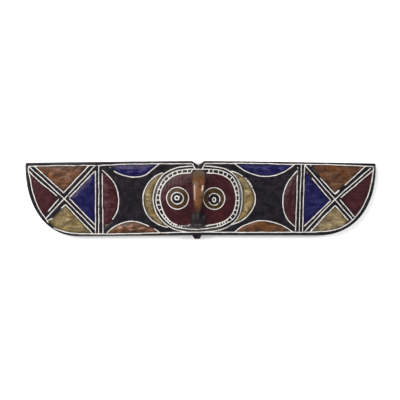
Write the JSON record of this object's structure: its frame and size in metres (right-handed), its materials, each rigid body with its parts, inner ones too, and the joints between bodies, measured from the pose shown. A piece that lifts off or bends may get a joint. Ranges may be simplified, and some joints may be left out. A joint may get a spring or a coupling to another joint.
{
  "type": "carved winged plank mask",
  "caption": "Long winged wooden plank mask with a low round face, hooked beak, round mouth, gouged pale lines and painted panels.",
  "frame": {"origin": "on the flat back, under the middle of the mask's overall length and height, as it lies on its back", "axes": "+X to the right as the mask is looked at, +Y towards its top edge with the notch, +Z out of the carved front"},
  "size_m": [0.61, 0.1362, 0.0457],
  "materials": {
    "painted_wood": "hand-painted in black, maroon, brown, blue and ochre with a soft waxed sheen, gouged lines left as pale raw wood"
  },
  "bodies": {
    "root": {"mask": "painted_wood"}
  },
  "joints": []
}
